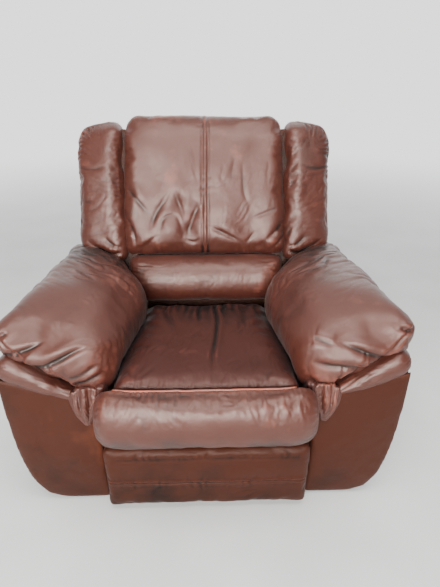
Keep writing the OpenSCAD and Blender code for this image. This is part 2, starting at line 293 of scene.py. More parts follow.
class Skin:
    """The surface of one piece while its folds, seams and gathers are worked into it.

    Lengths are in millimetres. move is how far each vertex goes outwards along its normal;
    the painted shading is dark below 0, in creases, hollows and parts in shade, and paler above 0, painted light
    with some wear.
    """

    def __init__(self, ob):
        self.ob = ob
        self.p = coords(ob) * MM
        self.n = normals(ob)
        self.move = np.zeros(len(self.p))
        self.tone = np.zeros(len(self.p))

    def facing(self, look):
        """How squarely each vertex faces along look, 0 where it is turned away."""
        return step(0.0, 0.35, -(self.n @ unit(look)))

    def seen(self, points, look, reach):
        """The vertices within reach of a line on the surface, seen along look, and where they lie on it."""
        line, p, face = spline(points), self.p, 1.0
        if look is not None:
            v = unit(look)
            line, p = line - (line @ v)[:, None] * v, p - (p @ v)[:, None] * v
            face = self.facing(look)
        lo, hi = line.min(0) - reach, line.max(0) + reach
        near = ((p > lo) & (p < hi)).all(1)
        if look is not None:
            near &= face > 0
            face = face[near]
        near = np.nonzero(near)[0]
        dist, place, off = nearest_on(line, p[near])
        return near, dist, place, off, face

    def fold(self, points, width, depth, ridge, side, taper, tone, look=None, soft=1.0):
        """A crease along points with a swelling beside it, on the side that the vector side points to."""
        near, dist, place, off, ends = self.seen(points, look, 8 * width * soft)
        for share, away in zip(taper, (place, 1 - place)):
            ends = ends * step(0, share, away)
        s = dist * np.sign(off @ np.asarray(side, float) + 1e-9)
        valley = bell(dist, 0, width)
        swell = bell(s, 1.9 * width * soft, 1.5 * width * soft)
        far = bell(s, -1.7 * width * soft, 1.3 * width * soft)
        self.move[near] += ends * depth * (-valley + ridge * swell + 0.35 * ridge * far)
        # Painted shade along the crease and painted light on the swelling beside it
        self.tone[near] += ends * tone * (-valley + 0.35 * ridge * swell)

    def seam(self, points, width, depth, lips, look=None):
        """A sewn join: a narrow groove with raised lips."""
        near, dist, _, _, face = self.seen(points, look, 6 * width)
        valley = face * bell(dist, 0, width)
        lip = face * bell(dist, 2.4 * width, 1.3 * width)
        self.move[near] += -depth * valley + lips * lip
        # Painted shade in the groove and painted light on the lips
        self.tone[near] += -0.5 * valley + 0.25 * lip

    def ruffle(self, points, reach, pitch, depth, side, look=None, seed=0.0):
        """Small gathers that run away from a seam and die out, on the side that side points to."""
        length = np.linalg.norm(np.diff(spline(points), axis=0), axis=1).sum()
        near, dist, place, off, face = self.seen(points, look, 2.2 * reach)

        def along(size, seed):
            return noise(np.stack([place * length / size, 0 * place, 0 * place], 1) + seed)

        jitter = noise(self.p[near] / (2.6 * pitch) + seed)
        drift = along(3.5 * pitch, seed + 9)
        wave = np.cos(2 * math.pi * (place * length / pitch + 0.6 * jitter + 1.3 * drift) + seed)
        long = 0.65 + 0.5 * along(1.4 * pitch, seed)
        fade = bell(dist, 0, reach * long.clip(0.3, 1.2)) * step(0, 0.16 * reach, dist + 0.1 * reach)
        if side is not None:
            fade *= step(-0.1 * reach, 0.15 * reach, off @ np.asarray(side, float))
        groups = 0.25 + 0.75 * step(-0.35, 0.45, along(70, seed + 5))
        live = fade * face * groups * step(0, 0.06, place) * step(0, 0.06, 1 - place)
        self.move[near] += depth * live * (np.minimum(wave, 0.5) - 0.1)
        # Painted light on the gathers' crests and painted shade in their troughs
        self.tone[near] += 0.35 * live * wave

    def wrinkles(self, mask, size, along, depth, stretch=4.0, seed=0.0, sharp=True):
        """A field of fine creases that run along a direction. size is the spacing between them."""
        a = unit(along)
        q = self.p + 9 * np.stack([noise(self.p / 60 + seed + k) for k in (0, 20, 40)], 1)
        lengthways = (q * a).sum(1)[:, None] * a
        q = (q - lengthways + lengthways / stretch) / size + seed
        h = ridges(q) - 0.6 if sharp else noise(q)
        live = mask > 0.001
        self.move += np.where(live, depth * mask * h, 0)
        # Painted shade in the creases and painted light on the swellings between them
        self.tone += np.where(live, 0.3 * mask * h * min(1.5, depth), 0)

    def done(self):
        set_coords(self.ob, (self.p + self.n * self.move[:, None]) / MM)
        smooth(self.ob, 1)
        finish_shade_and_wear(self.ob, self.tone)


def finish_shade_and_wear(ob, tone):
    """Adds painted shade in the shape's own hollows and painted light on its ridges, and keeps the shading on the
    mesh for the leather.
    """
    p, n, pairs = coords(ob), normals(ob), edge_pairs(ob)
    size = np.linalg.norm(p[pairs[:, 0]] - p[pairs[:, 1]], axis=1).mean()
    bend = ((p - neighbour_mean(p, pairs)) * n).sum(1) / size
    wide = bend[:, None]
    for _ in range(3):
        wide = neighbour_mean(wide, pairs)
    total = np.clip(0.6 * tone + 7 * wide[:, 0], -1, 1)
    # Painted light on ridges is kept weaker than painted shade in hollows
    total = np.where(total > 0, 0.4 * total, total)
    layer = ob.data.attributes.new("tone", "FLOAT", "POINT")
    layer.data.foreach_set("value", total.astype(np.float32))


def shade_smooth(ob):
    ob.data.polygons.foreach_set("use_smooth", [True] * len(ob.data.polygons))
    ob.data.update()
    return ob


def tube(name, line, radius, sides=8):
    """A round cord of leather or thread along a line in millimetres, with one radius or one for each point."""
    line = np.asarray(line, float)
    n = len(line)
    radii = np.full(n, radius) if np.isscalar(radius) else radius
    ahead = np.vstack([line[1] - line[0], line[2:] - line[:-2], line[-1] - line[-2]])
    ahead /= np.linalg.norm(ahead, axis=1)[:, None]
    a = np.cross(ahead, [0.31, 0.17, 0.93])
    a /= np.linalg.norm(a, axis=1)[:, None]
    b = np.cross(ahead, a)
    turns = [2 * math.pi * k / sides for k in range(sides)]
    verts = [
        (line[i] + radii[i] * (math.cos(t) * a[i] + math.sin(t) * b[i])) / MM for i in range(n) for t in turns
    ]
    faces = [
        (i * sides + k, (i + 1) * sides + k, (i + 1) * sides + (k + 1) % sides, i * sides + (k + 1) % sides)
        for i in range(n - 1)
        for k in range(sides)
    ]
    faces += [tuple(range(sides)), tuple((n - 1) * sides + k for k in reversed(range(sides)))]
    return shade_smooth(new_mesh(name, verts, faces))


STITCH = 5.5  # from one stitch to the next
THREAD_LENGTH = 0.62 * STITCH
THREAD_LIFT = 0.3
# A stitch's sections, each as its place along the stitch, half its width and its height
THREAD_ARCH = ((0, 0.2, -0.3), (0.25, 0.95, 0.8), (0.75, 0.95, 0.8), (1, 0.2, -0.3))


def stitches(name, ob, lines):
    """Rows of thread stitches laid on a finished piece along lines in millimetres."""
    tree = BVHTree.FromObject(ob, bpy.context.evaluated_depsgraph_get())
    verts, faces = [], []
    for points in lines:
        line = spline(points, 60)
        run = np.concatenate([[0], np.cumsum(np.linalg.norm(np.diff(line, axis=0), axis=1))])
        for start in np.arange(1, run[-1] - STITCH, STITCH):
            hits = []
            for place in (start, start + THREAD_LENGTH):
                end = np.array([np.interp(place, run, line[:, k]) for k in range(3)])
                hits.append(tree.find_nearest(Vector(end / MM)))
            a, b = (np.array(h[0]) * MM for h in hits)
            up = np.array(hits[0][1])
            along = b - a
            if np.linalg.norm(along) < 1:
                continue
            across = np.cross(along / np.linalg.norm(along), up)
            across /= np.linalg.norm(across) + 1e-9
            base = len(verts)
            for t, w, h in THREAD_ARCH:
                for u, v in ((-w, 0), (-w * 0.6, w * 0.8), (w * 0.6, w * 0.8), (w, 0)):
                    verts.append((a + along * t + across * u + up * (THREAD_LIFT + h * 0.5 + v * 0.6)) / MM)
            corners = [base + i * 4 + k for i in range(3) for k in range(3)]
            faces += [(q, q + 4, q + 5, q + 1) for q in corners]
    return shade_smooth(new_mesh(name, verts, faces))


# ---------------------------------------------------------------- materials


def node(tree, kind, **values):
    """A node with its settings and the values of its inputs."""
    made = tree.nodes.new("ShaderNode" + kind)
    for key, value in values.items():
        if key in made.bl_rna.properties:
            setattr(made, key, value)
        else:
            made.inputs[key.replace("_", " ")].default_value = value
    return made


def link(tree, a, b):
    tree.links.new(a, b)


def material(name, **values):
    """A material, its nodes, its shader with the values of its inputs, and the object's own coordinates."""
    mat = bpy.data.materials.new(name)
    mat.use_nodes = True
    shader = mat.node_tree.nodes["Principled BSDF"]
    for key, value in values.items():
        shader.inputs[key.replace("_", " ")].default_value = value
    return mat, mat.node_tree, shader, node(mat.node_tree, "TexCoord").outputs["Object"]


def texture(tree, place, kind="Noise", **values):
    made = node(tree, "Tex" + kind, **values)
    link(tree, place, made.inputs["Vector"])
    return made


def maths(tree, operation, *values, kind="Math"):
    """A sum on numbers, or with kind VectorMath on vectors; each value is a number or another node's output."""
    made = node(tree, kind, operation=operation)
    for value, socket in zip(values, made.inputs):
        if isinstance(value, bpy.types.NodeSocket):
            link(tree, value, socket)
        else:
            socket.default_value = value
    return made.outputs[0]


def ramp(tree, fac, stops, to):
    """Colours between stops, sent to an input."""
    r = node(tree, "ValToRGB")
    while len(r.color_ramp.elements) < len(stops):
        r.color_ramp.elements.new(0.5)
    for e, (pos, col) in zip(r.color_ramp.elements, stops):
        e.position, e.color = pos, (*col, 1)
    link(tree, fac, r.inputs["Fac"])
    link(tree, r.outputs["Color"], to)


def spread(tree, value, low, high, **values):
    """Maps a value from the range low to the range high."""
    made = node(tree, "MapRange", From_Min=low[0], From_Max=low[1], To_Min=high[0], To_Max=high[1], **values)
    link(tree, value, made.inputs["Value"])
    return made.outputs[0]


def bump(tree, height, strength, distance, to):
    made = node(tree, "Bump", Strength=strength, Distance=distance)
    link(tree, height, made.inputs["Height"])
    link(tree, made.outputs["Normal"], to)
    return made


def srgb(r, g, b):
    return tuple(((c / 255 + 0.055) / 1.055) ** 2.4 if c > 10 else c / 255 / 12.92 for c in (r, g, b))


def leather(name, dark, mid, light, rough=(0.3, 0.42), mottle=0.3, shine=0.5, coat=0.25):
    """Pigmented hide: cloudy colour, painted shade in creases and shaded parts, paler ridges with painted light
    and wear, fine pebbled grain.
    """
    mat, tree, shader, place = material(
        name, Specular_IOR_Level=shine, Specular_Tint=(1.0, 0.8, 0.73, 1), Coat_Weight=coat,
        Coat_Roughness=0.33, Sheen_Weight=0.03, Sheen_Roughness=0.4,
    )
    cloud = texture(tree, place, Scale=5.0, Detail=4.0, Roughness=0.6)
    blotch = texture(tree, place, Scale=34.0, Detail=5.0, Roughness=0.65)
    tone = node(tree, "Attribute", attribute_name="tone").outputs["Fac"]
    mixed = maths(tree, "MULTIPLY_ADD", blotch.outputs["Fac"], mottle, cloud.outputs["Fac"])
    # The painted shading moves the colour towards the dark stop in shade and the light stop in painted light
    toned = maths(tree, "MULTIPLY_ADD", tone, 0.42, mixed)
    half = 0.5 + 0.5 * mottle
    stops = [(half - 0.42, dark), (half - 0.06, mid), (half + 0.12, mid), (min(1, half + 0.46), light)]
    ramp(tree, toned, [(pos, srgb(*col)) for pos, col in stops], shader.inputs["Base Color"])
    # Grain: rounded cells about a millimetre across, broken by finer and coarser wrinkles
    warp = texture(tree, place, Scale=90.0, Detail=2.0)
    wander = node(tree, "VectorMath", operation="SCALE", Scale=0.004)
    link(tree, warp.outputs["Color"], wander.inputs[0])
    moved = maths(tree, "ADD", place, wander.outputs[0], kind="VectorMath")
    cells = texture(tree, moved, "Voronoi", Scale=620.0, feature="DISTANCE_TO_EDGE")
    creases = texture(tree, moved, Scale=70.0, Detail=6.0, Roughness=0.62)
    soft = bump(tree, creases.outputs["Fac"], 0.4, 0.0016, shader.inputs["Normal"])
    edge = spread(tree, cells.outputs["Distance"], (0, 0.22), (0, 1), interpolation_type="SMOOTHSTEP")
    bump(tree, edge, 0.22, 0.0004, soft.inputs["Normal"])
    # Rubbed places are a little glossier than the rest
    link(tree, spread(tree, blotch.outputs["Fac"], (0.3, 0.75), rough), shader.inputs["Roughness"])
    return mat


def wood():
    mat, tree, shader, place = material("wood", Roughness=0.7)
    stretch = maths(tree, "MULTIPLY", place, (3, 18, 18), kind="VectorMath")
    rings = texture(tree, stretch, Scale=6.0, Detail=6.0, Distortion=1.2).outputs["Fac"]
    stops = [(0.3, srgb(132, 98, 62)), (0.5, srgb(176, 140, 96)), (0.7, srgb(196, 164, 120))]
    ramp(tree, rings, stops, shader.inputs["Base Color"])
    bump(tree, rings, 0.3, 0.0006, shader.inputs["Normal"])
    return mat


def steel(name="steel", tint=(118, 118, 120), rough=0.36):
    mat, tree, shader, place = material(name, Metallic=1.0)
    stain = texture(tree, place, Scale=40.0, Detail=5.0).outputs["Fac"]
    low = tuple(c * 0.62 for c in srgb(*tint))
    ramp(tree, stain, [(0.3, low), (0.65, srgb(*tint))], shader.inputs["Base Color"])
    link(tree, spread(tree, stain, (0, 1), (rough, rough + 0.25)), shader.inputs["Roughness"])
    bump(tree, stain, 0.12, 0.0003, shader.inputs["Normal"])
    return mat


def plastic():
    mat, tree, shader, place = material("black_plastic", Roughness=0.5)
    spark = texture(tree, place, Scale=900.0, Detail=2.0).outputs["Fac"]
    ramp(tree, spark, [(0.3, srgb(18, 18, 19)), (0.7, srgb(34, 33, 33))], shader.inputs["Base Color"])
    bump(tree, spark, 0.35, 0.0004, shader.inputs["Normal"])
    return mat


def webbing():
    mat, tree, shader, place = material("webbing", Roughness=0.85)
    waves = [texture(tree, place, "Wave", Scale=160.0, Distortion=0.6, bands_direction=way) for way in "XZ"]
    both = maths(tree, "MULTIPLY", *[wave.outputs["Fac"] for wave in waves])
    ramp(tree, both, [(0.1, srgb(20, 20, 22)), (0.8, srgb(64, 62, 60))], shader.inputs["Base Color"])
    bump(tree, both, 0.6, 0.0006, shader.inputs["Normal"])
    return mat


# Each leather: its darkest colour, for painted shade, its own colour and its palest, for painted light and worn
# ridges, then its gloss
HIDE = leather("leather_cushion", (13, 5, 4), (60, 26, 18), (104, 57, 46), (0.38, 0.48), 0.3, 0.6, 0.06)
PANEL = leather("leather_panel", (13, 5, 3), (50, 20, 9), (80, 38, 22), (0.44, 0.56), 0.3, 0.2, 0.0)
# A darker copy of the cushion leather: painted shade for the seat and the arm liners, low between the arms
SEAT_SHADED = leather("leather_seat_shaded", (9, 4, 3), (52, 22, 17), (88, 46, 37), (0.38, 0.48), 0.3, 0.35, 0.04)
WELT = leather("leather_welt", (60, 28, 22), (118, 60, 45), (150, 90, 72), (0.4, 0.5))
THREAD = leather("thread", (40, 17, 12), (104, 54, 40), (138, 82, 64), (0.6, 0.75), 0.3, 0.3, 0.0)
WOOD, STEEL, PLASTIC, WEBBING = wood(), steel(), plastic(), webbing()
SPRING = steel("spring_steel", (96, 96, 100), 0.3)


def trim(ob, body, mat=HIDE):
    """Gives a finished piece its leather or thread, and its body."""
    ob.data.materials.clear()
    ob.data.materials.append(mat)
    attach(ob, body)
    return ob


def padding(ob, body, mat=HIDE):
    """A finished padded piece."""
    shade_smooth(trim(ob, body, mat))
    return ob


def cushion(ob, body, cad_node, mat=HIDE):
    """A finished padded piece, with the CAD solid that it stands for."""
    padding(ob, body, mat)
    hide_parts(cad_node)


# ---------------------------------------------------------------- camera, light and floor

camera = new_object("camera", bpy.data.cameras.new("camera"))
camera.location = (0.01, -1.32, 1.16)
camera.rotation_euler = (math.radians(63.5), 0, math.radians(-1.6))
camera.data.lens = 27.54
camera.data.clip_start, camera.data.clip_end = 0.05, 60
scene.camera = camera


def softbox(name, at, to, size, power, colour):
    lamp = bpy.data.lights.new(name, "AREA")
    lamp.shape, lamp.size, lamp.size_y = "RECTANGLE", *size
    lamp.energy, lamp.color = power, colour
    ob = new_object(name, lamp)
    ob.location = at
    ob.rotation_euler = (Vector(to) - Vector(at)).to_track_quat("-Z", "Y").to_euler()


softbox("window", (-0.6, -3.3, 1.55), (0, 0.1, 0.6), (2.5, 1.3), 350, (1, 0.985, 0.97))
softbox("ceiling", (0.1, -1.0, 3.2), (0, -0.1, 0.4), (2.2, 1.6), 120, (1, 0.99, 0.97))
softbox("rear", (0.6, 3.2, 2.2), (0, 0, 0.5), (2.6, 1.6), 30, (1, 1, 1))

SKY = [(0.0, (0.24, 0.24, 0.245)), (0.25, (0.36, 0.36, 0.37)), (0.6, (1, 1, 1))]  # darker towards -Y
SKY_STRENGTH = 1.9


def sky(tree, way, to):
    """The background's colour in the direction way."""
    parts = node(tree, "SeparateXYZ")
    link(tree, way, parts.inputs[0])
    ramp(tree, parts.outputs["Y"], SKY, to)


world = scene.world = bpy.data.worlds.new("studio")
world.use_nodes = True
background = world.node_tree.nodes["Background"]
background.inputs["Strength"].default_value = SKY_STRENGTH
sky(world.node_tree, node(world.node_tree, "TexCoord").outputs["Generated"], background.inputs["Color"])


def make_floor(half=40, near=1.2, far=6.5):
    """A pale floor that melts into the background a few metres away."""
    corners = [(-half, -half, 0), (half, -half, 0), (half, half, 0), (-half, half, 0)]
    ob = new_mesh("floor", corners, [(0, 1, 2, 3)])
    mat, tree, shader, place = material("floor", Roughness=0.9, Specular_IOR_Level=0.0)
    length = node(tree, "VectorMath", operation="LENGTH")
    link(tree, place, length.inputs[0])
    fade = spread(tree, length.outputs["Value"], (near, far), (0, 1), interpolation_type="SMOOTHSTEP")
    base = node(tree, "Mix", data_type="RGBA")
    link(tree, fade, base.inputs[0])
    speck = texture(tree, place, Scale=3.0, Detail=2.0).outputs["Fac"]
    ramp(tree, speck, [(0.3, srgb(184, 185, 184)), (0.7, srgb(193, 194, 193))], base.inputs[6])
    base.inputs[7].default_value = (0, 0, 0, 1)
    link(tree, base.outputs[2], shader.inputs["Base Color"])
    sky(tree, maths(tree, "NORMALIZE", place, kind="VectorMath"), shader.inputs["Emission Color"])
    link(tree, maths(tree, "MULTIPLY", fade, SKY_STRENGTH), shader.inputs["Emission Strength"])
    ob.data.materials.append(mat)


make_floor()

# ---------------------------------------------------------------- arms

FACE = (0, 0.88, -0.47)  # the direction in which the front's folds are laid out
FRONT = -372  # where the arm's front lies
SIDES = (("left", -1), ("right", 1))  # left is at negative x


def front_line(*points):
    return [(x, FRONT, z) for x, z in points]


def shifted(line, x=0, y=0, z=0):
    return [(px + x, py + y, pz + z) for px, py, pz in line]


def mirrored(side, *points):
    """Points given for the side of positive x, put on the given side."""
    return [(side * x, y, z) for x, y, z in points]


def box_mesh(name, *boxes):
    """Boxes given by their low and high corners, in one mesh."""
    verts, faces = [], []
    for low, high in boxes:
        n = len(verts)
        verts += [(a, b, c) for a in (low[0], high[0]) for b in (low[1], high[1]) for c in (low[2], high[2])]
        sides = ((0, 1, 3, 2), (4, 6, 7, 5), (0, 4, 5, 1), (2, 3, 7, 6), (0, 2, 6, 4), (1, 5, 7, 3))
        faces += [tuple(n + k for k in f) for f in sides]
    return new_mesh(name, verts, faces)


# Each arm's pleats, from the seam where they start to where they die out on the pad, with width and depth
PLEATS = {
    "left": [
        ([(-512, 524), (-474, 526), (-434, 543), (-400, 564)], 5.5, 7),
        ([(-461, 506), (-444, 490), (-404, 489), (-366, 506), (-323, 532), (-282, 546)], 6, 9),
        ([(-352, 450), (-323, 456), (-296, 474), (-268, 496)], 5, 6),
        ([(-348, 431), (-313, 436), (-286, 452), (-256, 471)], 5, 6),
        ([(-325, 366), (-299, 384), (-257, 406)], 5, 6),
    ],
    "right": [
        ([(330, 548), (371, 530), (415, 509), (457, 500), (497, 505), (527, 514)][::-1], 6, 9),
        ([(268, 491), (321, 473), (377, 470), (416, 469)][::-1], 5.5, 8),
        ([(282, 559), (305, 547), (330, 532)], 6, 4),
        ([(262, 443), (298, 421), (340, 420)][::-1], 5, 7),
        ([(270, 404), (298, 405), (326, 409)][::-1], 5, 5),
    ],
}
# The edge where the pad is sewn to the band above the bead, and the short seams that hold the pleats
EDGES = {
    "left": [(-545, 505), (-516, 503), (-464, 490), (-395, 455), (-364, 424), (-343, 393)],
    "right": [(548, 516), (527, 514), (474, 494), (421, 472), (382, 447), (354, 420), (343, 396)],
}
TACKS = {
    "left": [
        [(-477, 526), (-461, 505), (-444, 489)],
        [(-402, 488), (-378, 463), (-352, 434)],
        [(-345, 430), (-330, 407), (-323, 384)],
    ],
    "right": [
        [(410, 511), (404, 494), (382, 471)],
        [(356, 467), (347, 436), (341, 412)],
        [(327, 413), (334, 375), (334, 345)],
    ],
}
WRINKLE_WAY = {"left": (0.8, -0.6, 0.1), "right": (0.85, 0.52, 0.1)}


def make_arm_pad(name, side):
    ob = from_cad(f"arm_pad_{name}", 0.010, 0.0065, 26)
    p = coords(ob)
    puff(ob, 4, 0.013, 0.03, pin=step(0.445, 0.42, p[:, 2]) * 0.9)
    inward = (12, 1) if side > 0 else (1, 12)
    fill_box(ob, f"arm_pad_{name}", (inward[0], 4, 6), (inward[1], 0, 3))
    # A full, barrel-shaped top that slopes down to the pleats, and a front that hangs over the bead
    p = coords(ob) * MM
    out, y, z = side * p[:, 0], p[:, 1], p[:, 2]
    barrel = (1 - ((out - 385) / 165) ** 2).clip(0, 1)
    front = step(-170, -372, y)
    lift = 15 * step(500, 570, z) * barrel - 34 * front * step(480, 580, z) * (1 - 0.75 * step(420, 520, out))
    lift -= 30 * step(-270, -340, y) * step(540, 460, z)
    p[:, 1] -= 8 * bell(z, 495, 50) * bell(out, 390, 90) * step(-290, -350, y)
    p[:, 2] += lift
    set_coords(ob, p / MM)
    smooth(ob, 10)
    skin = Skin(subdivide(ob))
    x, y, z = skin.p.T
    out = side * x
    inner = step(300, 235, out) * bell(z, 490, 70) * step(-395, -300, y) * step(240, 120, y)
    skin.move += 12 * inner
    # Long soft hollows and the many creases of the rear half
    skin.move += 3.5 * noise(skin.p / 130 + side) * step(400, 470, z)
    way = WRINKLE_WAY[name]
    rear = step(-200, -40, y + 0.25 * (out - 300)) * step(430, 500, z) * (0.3 + 0.7 * step(0.1, 0.6, skin.n[:, 2]))
    skin.wrinkles(rear * (0.7 + 0.4 * noise(skin.p / 90 + 3)), 31, way, 6.5, 6.0, seed=2.0 + side)
    skin.wrinkles(rear * step(-0.1, 0.5, noise(skin.p / 70 + 13)), 15, way, 2.0, 7.0, seed=7.0 + side)
    mid = step(420, 500, z) * (1 - rear)
    skin.wrinkles(mid * step(-0.1, 0.5, noise(skin.p / 90 + 8)), 20, way, 1.0, 4.0, seed=9.0)
    # Painted shade: the pad darkens towards its rear, under the wings
    skin.tone -= 1.1 * step(-90, 170, y)
    flank = step(330, 250, out) * step(560, 480, z)
    skin.wrinkles(flank, 30, (0, 0.3, 1), 1.6, 3.0, seed=12.0 + side)
    # Painted shade on the pad's inner flank above the seat, fading out at the front
    skin.tone -= 0.8 * flank * step(-380, -200, y)
    # Front: pleats, the sewn edge, and gathers between them
    for line, width, depth in PLEATS[name]:
        skin.fold(front_line(*line), width, depth, 0.7, (0, 0, 1), (0.02, 0.4), 0.9, look=FACE, soft=1.7)
    edge = front_line(*EDGES[name])
    skin.fold(edge, 7, 10, 0.5, (0, 0, 1), (0.02, 0.02), 1.0, look=FACE, soft=1.3)
    skin.ruffle(edge, 40, 15, 1.8, (0, 0, 1), look=FACE, seed=1.0 + side)
    for line in TACKS[name]:
        skin.seam(front_line(*line), 3, 2.6, 1.4, look=FACE)
        skin.ruffle(front_line(*line), 26, 9, 1.4, None, look=FACE, seed=4.0 + side)
    # Outer front corner: a sewn dart with creases fanning up from it
    dart = mirrored(side, (455, FRONT, 513), (485, FRONT, 537), (510, -368, 565), (528, -350, 574))
    skin.seam(dart, 3.2, 3.6, 1.6, look=FACE)
    skin.ruffle(dart, 55, 13, 2.6, (-0.7 * side, 0, 0.7), look=FACE, seed=6.0)
    corner = mirrored(side, (492, FRONT, 588), (512, FRONT, 576), (530, -366, 570))
    skin.fold(corner, 6, 6, 0.7, (0, 0, 1), (0.3, 0.1), 0.7, look=FACE)
    # Long seam along the outer side, over the bead
    rim = mirrored(side, (545, -340, 524), (532, -150, 520), (515, 60, 512), (498, 240, 506))
    skin.seam(rim, 4, 4, 1.5)
    skin.ruffle(rim, 40, 22, 2.0, (0, 0, 1), seed=3.0)
    tail = mirrored(side, (310, 276, 430), (400, 279, 470), (490, 272, 510))
    skin.ruffle(tail, 60, 24, 2.4, (0, 0, 1), seed=5.0)
    skin.done()
    cushion(ob, "base", f"arm_pad_{name}")
    rows = []
    for line in TACKS[name] + [[(side * 455, 513), (side * 485, 537), (side * 512, 565)]]:
        run = unit(np.subtract(line[-1], line[0]))
        for off in (-5, 5):
            rows.append([(px + off * run[1], -402, pz - off * run[0]) for px, pz in line])
    rows.append(shifted(rim, x=side * 10, z=7))
    trim(stitches(f"arm_pad_{name}_stitches", ob, rows), "base", THREAD)


def make_bead(name, side):
    ob = from_cad(f"arm_bead_{name}", 0.002, 0.006, 6)
    puff(ob, 3, 0.007, 0.02)
    fill_box(ob, f"arm_bead_{name}", (1, 3, 5), (1, 2, 12))
    p = coords(ob) * MM
    out = side * p[:, 0]
    thin = 1 - 0.45 * step(480, 335, out) * step(-250, -310, p[:, 1])
    axis = 388 + 73 * (out - 350) / 157
    p[:, 2] = axis + (p[:, 2] - axis) * thin
    p[:, 1] -= 5 * step(-250, -310, p[:, 1]) * bell(out, 430, 60)
    set_coords(ob, p / MM)
    skin = Skin(subdivide(ob))
    x, y, z = skin.p.T
    out = side * x
    front = step(-300, -330, y)
    # The front stretch narrows to a point at its inner end
    skin.wrinkles(front * step(520, 400, out), 13, (side * 0.9, 0, 0.45), 2.2, 6.0, seed=2.0)
    skin.wrinkles(1 - front, 20, (0, 1, 0), 1.8, 4.0, seed=5.0)
    skin.wrinkles(1.0, 34, (0.2, 0.2, 1), 1.6, 1.5, seed=8.0, sharp=False)
    corner = mirrored(side, (525, -372, 500), (538, -376, 465), (530, -372, 428))
    skin.ruffle(corner, 40, 12, 2.0, None, seed=3.0)
    skin.seam(mirrored(side, (350, -372, 372), (430, -376, 398), (540, -368, 436)), 3, 2.4, 0.8)
    skin.done()
    cushion(ob, "base", f"arm_bead_{name}")


def crinkle(ob, tone, *wrinkles, **more):
    """Works a piece that is wrinkled all over, and shifts the whole piece's painted shading by the given amount.
    """
    skin = Skin(ob)
    skin.wrinkles(1.0, *wrinkles, **more)
    skin.tone += tone
    skin.done()


# Where each strand of the tuck starts, how far it bows forward and how thick it starts
STRANDS = ((357, -368, 396, 8, 10), (345, -374, 410, 15, 12), (331, -370, 420, 9, 12),
           (317, -376, 422, 17, 12), (303, -370, 420, 9, 12), (289, -370, 414, 13, 11))


def make_tuck(name, side):
    """The pad's leather, pleated down to a point between the front panel and the front roll."""
    verts, faces = [], []
    for x, y, z, bow, fat in STRANDS:
        start, tip = np.array([x, y, z]), np.array([324 + 0.1 * (x - 324), -374, 294])
        line = spline([start, (start + tip) / 2 + [0.12 * (x - 324), -bow, 0], tip], 20)
        strand = tube("strand", mirrored(side, *line), np.linspace(fat, 5, len(line)), 12)
        faces += [tuple(len(verts) + k for k in f.vertices) for f in strand.data.polygons]
        verts += [tuple(v) for v in coords(strand)]
        bpy.data.objects.remove(strand)
    ob = smooth(remesh(new_mesh(f"arm_tuck_{name}", verts, faces), 0.0028), 2)
    crinkle(subdivide(ob), 0, 9, (side * 0.15, 0, 1), 1.3, 5.0, seed=3.0)
    padding(ob, "base")


def make_liner(name, side):
    """Soft leather side of the arm that fills the gap beside the seat cushion, under the pad."""
    ob = box_mesh(f"arm_liner_{name}", ((side * 263, -384, 338), (side * 292, 92, 428)))
    set_coords(ob, coords(ob) / MM)
    smooth(remesh(ob, 0.006), 8)
    # Painted shade: the whole liner is darkened, as it sits low beside the seat
    crinkle(subdivide(ob), -0.8, 20, (0, 0.3, 1), 2.0, 3.0, seed=5.0)
    padding(ob, "base", SEAT_SHADED)


def make_panel(ob_name, node_name, look, bulge, seams=(), body="base", shape=None):
    """A thin leather panel over padding: soft edges, a slight crown and a few broad hollows."""
    ob = from_cad(node_name, 0.0, 0.0045, 9, ob_name)
    fill_box(ob, node_name)
    if shape:
        set_coords(ob, shape(coords(ob) * MM) / MM)
    skin = Skin(ob)
    outer = skin.facing(look)
    p = skin.p
    span = p.max(0) - p.min(0)
    mid = (p.max(0) + p.min(0)) / 2
    crown = 1
    for k in [k for k in range(3) if not look[k]]:
        crown = crown * (1 - np.abs(2 * (p[:, k] - mid[k]) / span[k]).clip(0, 1) ** 4)
    skin.move += outer * crown * bulge
    skin.move += outer * (2.2 * noise(p / 120 + 3) + 0.8 * noise(p / 40 + 9)) * crown
    skin.wrinkles(outer * crown * step(0, 0.5, noise(p / 100 + 5)), 28, (0.3, 0.3, 1), 1.0, 3.0, seed=6.0)
    # Painted shade: darker towards the bottom, away from the light from above
    skin.tone -= 0.5 * step(260, 20, p[:, 2])
    for line in seams:
        skin.seam(line, 3, 2.4, 1.2, look=look)
        skin.ruffle(line, 30, 18, 1.4, None, look=look)
    skin.done()
    cushion(ob, body, node_name, mat=PANEL)


def side_shape(p):
    """The top edges of the side and rear panels tuck up under the bead and the pad."""
    p[:, 2] += 26 * step(300, 400, p[:, 2])
    return p


def front_shape(p):
    """The front panel's top edge tucks up under the bead, and its outer bottom corner is round."""
    x, z = np.abs(p[:, 0]), p[:, 2]
    p[:, 2] += step(180, 330, z) * (40 - 12 * step(310, 530, x))
    p[:, 0] -= np.sign(p[:, 0]) * 9 * step(340, 296, x)
    round_off = step(395, 480, x) * step(130, 6, z)
    p[:, 2] += 22 * round_off**2
    return p


for name, side in SIDES:
    make_arm_pad(name, side)
    make_bead(name, side)
    make_tuck(name, side)
    make_liner(name, side)
    make_panel(f"arm_front_{name}_soft", f"arm_front_panel_{name}", (0, 1, 0), bulge=8, shape=front_shape)
    low_seam = mirrored(side, (500, -372, 92), (500, 0, 84), (500, 272, 92))
    rear_seam = mirrored(side, (500, 96, 440), (500, 92, 220), (500, 84, 0))
    make_panel(f"arm_outer_{name}_soft", f"arm_outer_panel_{name}", (-side, 0, 0), bulge=8, shape=side_shape,
               seams=[low_seam, rear_seam] if side > 0 else [low_seam])
    make_panel(f"arm_rear_{name}_soft", f"arm_rear_panel_{name}", (0, -1, 0), bulge=4, shape=side_shape)

# ---------------------------------------------------------------- seat


